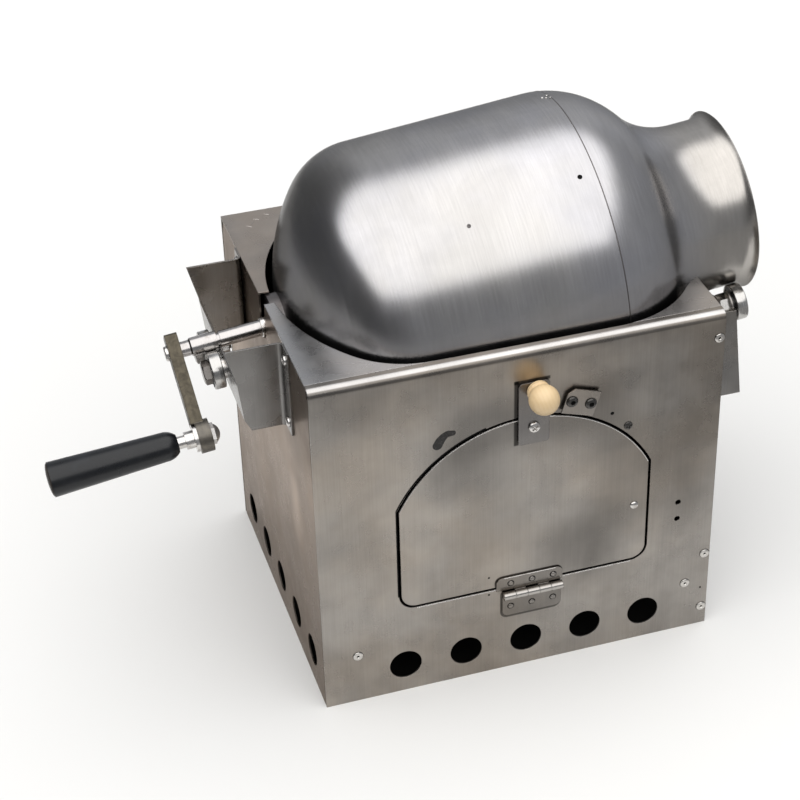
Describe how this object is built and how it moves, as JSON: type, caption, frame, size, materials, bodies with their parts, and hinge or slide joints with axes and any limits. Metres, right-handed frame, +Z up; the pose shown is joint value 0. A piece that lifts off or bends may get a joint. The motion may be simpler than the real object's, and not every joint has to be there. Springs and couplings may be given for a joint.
{
  "type": "hand-crank nut roaster",
  "caption": "Bottle-shaped steel drum with a flared mouth, turned by a side crank on ball-bearing rollers over a vented sheet-steel firebox with an arched stoking door.",
  "frame": {"origin": "middle of the firebox's underside", "axes": "+X towards the drum's mouth, -Y out of the stoking door, +Z up"},
  "size_m": [0.5823, 0.3069, 0.4297],
  "materials": {
    "box_steel": "mottled brushed sheet",
    "bracket_steel": "brushed sheet",
    "drum_steel": "satin polished",
    "bright_steel": "turned bright",
    "bearing_steel": "ground bright",
    "hinge_steel": "pressed bright",
    "rivet_steel": "blind rivet",
    "arm_steel": "mill finish",
    "grip_plastic": "matte black",
    "knob_wood": "turned, clear varnish",
    "black_screw": "black oxide",
    "grate_iron": "as cast"
  },
  "bodies": {
    "firebox": {"front_panel": "box_steel", "left_panel": "box_steel", "right_panel": "box_steel", "rear_panel": "box_steel", "base_plate": "box_steel", "top_front_left": "box_steel", "top_front_right": "box_steel", "top_rear": "box_steel", "front_ledge": "box_steel", "rear_ledge": "box_steel", "left_bracket": "bracket_steel", "right_bracket": "bracket_steel", "keeper_plate": "bracket_steel", "keeper_spacers": "bracket_steel", "left_axle_bolts": "bright_steel", "left_axle_nuts": "bright_steel", "left_axle_spacers": "bright_steel", "right_axle_bolts": "bright_steel", "right_axle_nuts": "bright_steel", "right_axle_spacers": "bright_steel", "hinge_pin": "bright_steel", "left_bracket_screws": "bright_steel", "right_bracket_screws": "bright_steel", "left_front_inner_ring": "bearing_steel", "left_rear_inner_ring": "bearing_steel", "right_front_inner_ring": "bearing_steel", "right_rear_inner_ring": "bearing_steel", "hinge_lower_leaf": "hinge_steel", "hinge_lower_screws": "hinge_steel", "corner_rivets": "rivet_steel", "ledge_rivets": "rivet_steel", "keeper_screws": "black_screw", "fire_grate": "grate_iron"},
    "drum": {"drum_body": "drum_steel", "drum_neck": "drum_steel", "stirring_fin_1": "drum_steel", "stirring_fin_2": "drum_steel", "stirring_fin_3": "drum_steel", "shaft_hub": "drum_steel", "crank_shaft": "bright_steel", "shaft_collar": "bright_steel", "crank_arm": "arm_steel", "arm_screw": "bright_steel", "handle_spindle": "bright_steel", "cap_nut": "bright_steel"},
    "grip": {"grip": "grip_plastic", "grip_cap": "grip_plastic"},
    "left_front_wheel": {"left_front_roller": "bearing_steel"},
    "left_rear_wheel": {"left_rear_roller": "bearing_steel"},
    "right_front_wheel": {"right_front_roller": "bearing_steel"},
    "right_rear_wheel": {"right_rear_roller": "bearing_steel"},
    "door": {"door_panel": "box_steel", "hinge_upper_leaf": "hinge_steel", "hinge_upper_screws": "hinge_steel", "latch_pivot": "bright_steel", "pivot_nut": "bright_steel"},
    "latch": {"latch_plate": "bracket_steel", "latch_knob": "knob_wood", "knob_screw": "bright_steel"}
  },
  "joints": [
    {"name": "drum_spin", "type": "hinge", "parent": "firebox", "child": "drum", "pos_m": [0, 0, 0.2978], "axis": [0.9943, 0, 0.1063], "continuous": true},
    {"name": "grip_spin", "type": "hinge", "parent": "drum", "child": "grip", "pos_m": [0.00526, -0.0495, 0.24858], "axis": [0.9943, 0, 0.1063], "continuous": true},
    {"name": "left_front_spin", "type": "hinge", "parent": "firebox", "child": "left_front_wheel", "pos_m": [-0.20809, -0.016, 0.2593], "axis": [0.9943, 0, 0.1063], "continuous": true},
    {"name": "left_rear_spin", "type": "hinge", "parent": "firebox", "child": "left_rear_wheel", "pos_m": [-0.20809, 0.016, 0.2593], "axis": [0.9943, 0, 0.1063], "continuous": true},
    {"name": "right_front_spin", "type": "hinge", "parent": "firebox", "child": "right_front_wheel", "pos_m": [0.21272, -0.058, 0.25908], "axis": [0.9943, 0, 0.1063], "continuous": true},
    {"name": "right_rear_spin", "type": "hinge", "parent": "firebox", "child": "right_rear_wheel", "pos_m": [0.21272, 0.058, 0.25908], "axis": [0.9943, 0, 0.1063], "continuous": true},
    {"name": "door_hinge", "type": "hinge", "parent": "firebox", "child": "door", "pos_m": [0.0093, -0.1424, 0.0783], "axis": [1, 0, 0], "range_deg": [0, 100]},
    {"name": "latch_turn", "type": "hinge", "parent": "door", "child": "latch", "pos_m": [0.0093, -0.1385, 0.2374], "axis": [0, 1, 0], "range_deg": [-60, 28]}
  ],
  "couplings": [
    {"joint": "left_front_spin", "follows": "drum_spin", "ratio": -0.5},
    {"joint": "left_rear_spin", "follows": "drum_spin", "ratio": -0.5},
    {"joint": "right_front_spin", "follows": "drum_spin", "ratio": -4.6},
    {"joint": "right_rear_spin", "follows": "drum_spin", "ratio": -4.6}
  ]
}
